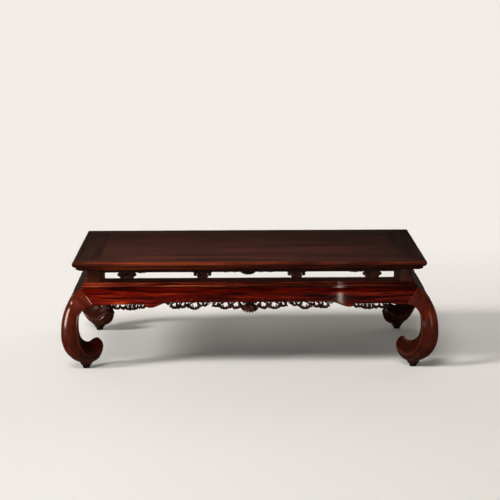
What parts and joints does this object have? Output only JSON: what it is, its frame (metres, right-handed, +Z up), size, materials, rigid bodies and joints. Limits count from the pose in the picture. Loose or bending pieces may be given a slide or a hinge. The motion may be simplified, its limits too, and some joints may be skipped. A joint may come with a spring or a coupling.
{
  "type": "kang table",
  "caption": "Low rectangular hardwood table with a pierced waist, beaded moulding, bulging carved aprons and bulging legs that end in inward curled feet on pads.",
  "frame": {"origin": "on the floor, under the middle of the top", "axes": "+X along the length, +Y to the back, +Z up"},
  "size_m": [1.2798, 0.8398, 0.37],
  "materials": {
    "top_frame": "satin varnished hardwood, dark red-brown",
    "panel": "satin varnished hardwood with lengthwise grain",
    "batten": "plain oiled hardwood",
    "waist": "satin varnished hardwood",
    "strut": "satin varnished hardwood, carved",
    "moulding": "glossy varnished hardwood",
    "apron": "glossy varnished hardwood, carved along the lower edge",
    "leg": "glossy varnished hardwood, worn at the feet",
    "foot_pad": "worn hardwood"
  },
  "bodies": {
    "root": {"top_rail_front": "top_frame", "top_rail_right": "top_frame", "top_rail_back": "top_frame", "top_rail_left": "top_frame", "panel_board_front": "panel", "panel_board_back": "panel", "batten_1": "batten", "batten_2": "batten", "batten_3": "batten", "waist_rail_upper_front": "waist", "waist_rail_upper_right": "waist", "waist_rail_upper_back": "waist", "waist_rail_upper_left": "waist", "waist_rail_lower_front": "waist", "waist_rail_lower_right": "waist", "waist_rail_lower_back": "waist", "waist_rail_lower_left": "waist", "waist_strut_front_1": "strut", "waist_strut_front_2": "strut", "waist_strut_front_3": "strut", "waist_strut_front_4": "strut", "corner_strut_front_1": "waist", "corner_strut_front_2": "waist", "waist_strut_right_1": "strut", "waist_strut_right_2": "strut", "waist_strut_right_3": "strut", "corner_strut_right_1": "waist", "corner_strut_right_2": "waist", "waist_strut_back_1": "strut", "waist_strut_back_2": "strut", "waist_strut_back_3": "strut", "waist_strut_back_4": "strut", "corner_strut_back_1": "waist", "corner_strut_back_2": "waist", "waist_strut_left_1": "strut", "waist_strut_left_2": "strut", "waist_strut_left_3": "strut", "corner_strut_left_1": "waist", "corner_strut_left_2": "waist", "waist_moulding_front": "moulding", "waist_moulding_right": "moulding", "waist_moulding_back": "moulding", "waist_moulding_left": "moulding", "apron_front": "apron", "apron_right": "apron", "apron_back": "apron", "apron_left": "apron", "leg_front_left": "leg", "leg_front_right": "leg", "leg_back_left": "leg", "leg_back_right": "leg", "foot_pad_front_left": "foot_pad", "foot_pad_front_right": "foot_pad", "foot_pad_back_left": "foot_pad", "foot_pad_back_right": "foot_pad"}
  },
  "joints": []
}
